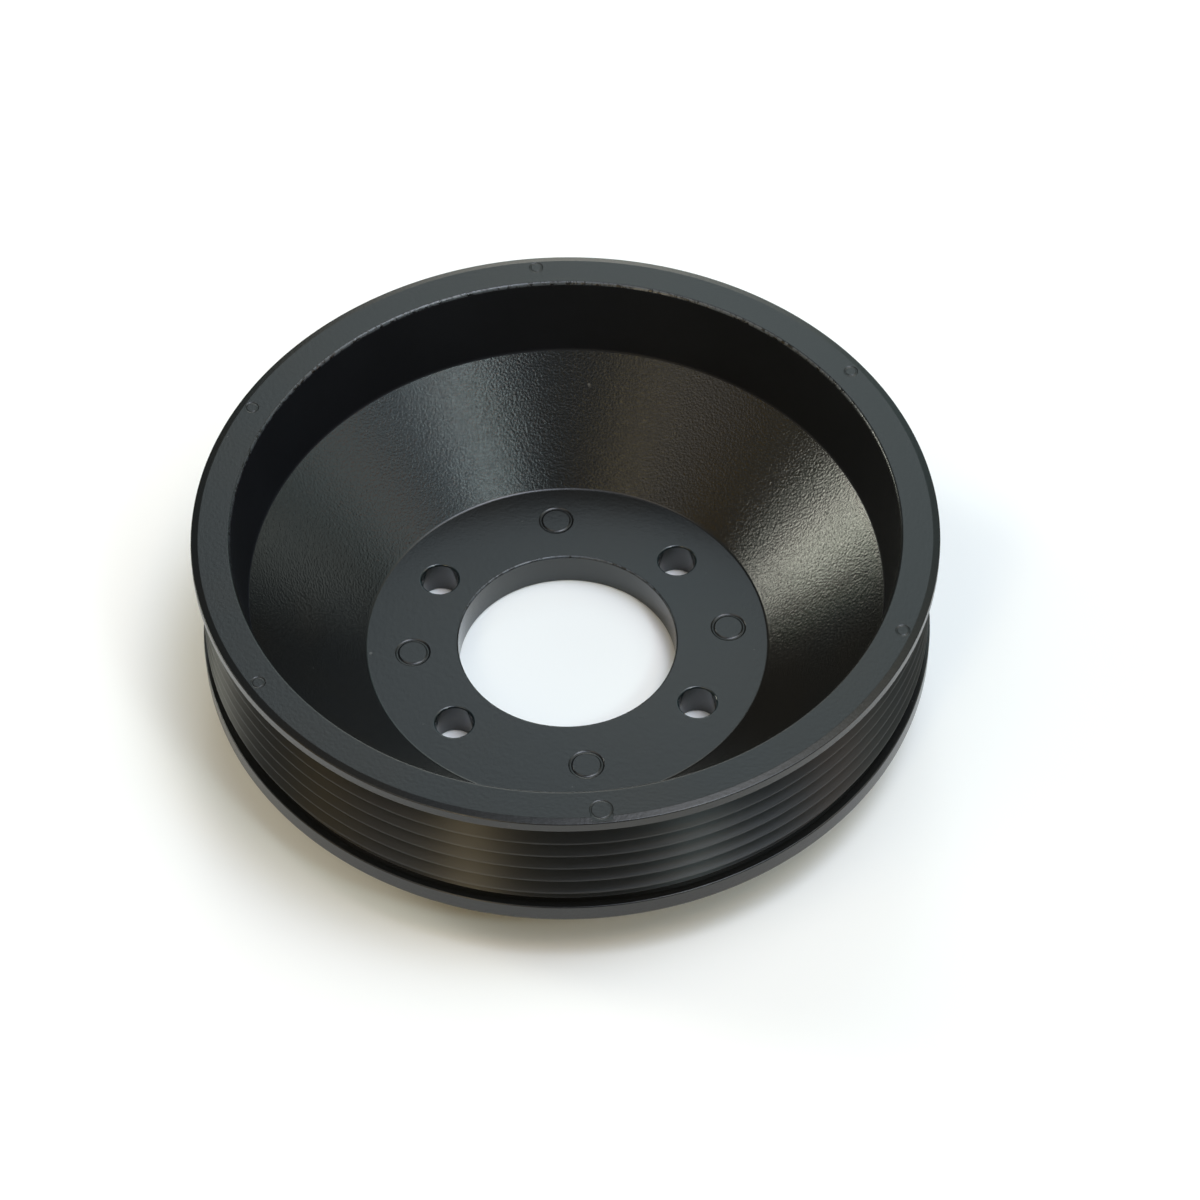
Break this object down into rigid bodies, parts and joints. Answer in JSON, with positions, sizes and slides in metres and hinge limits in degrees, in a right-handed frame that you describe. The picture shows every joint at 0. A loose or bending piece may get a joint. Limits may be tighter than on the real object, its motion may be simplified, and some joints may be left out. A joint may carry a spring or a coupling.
{
  "type": "water pump pulley",
  "caption": "Dished plastic multi-rib belt pulley with a flat hub, central pilot bore and bolt holes, for driving a water pump.",
  "frame": {"origin": "centre of the bore on the hub's bottom face, the face that seats on the pump flange", "axes": "+Z along the pulley's axis, out of the open side of the dish; +X along the longer side of the rectangle of bolt holes"},
  "size_m": [0.135, 0.135, 0.04],
  "materials": {
    "pulley_plastic": "black glass-filled moulding, satin on the flats, glossy with a fine grain on the web"
  },
  "bodies": {
    "root": {"pulley": "pulley_plastic"}
  },
  "joints": []
}
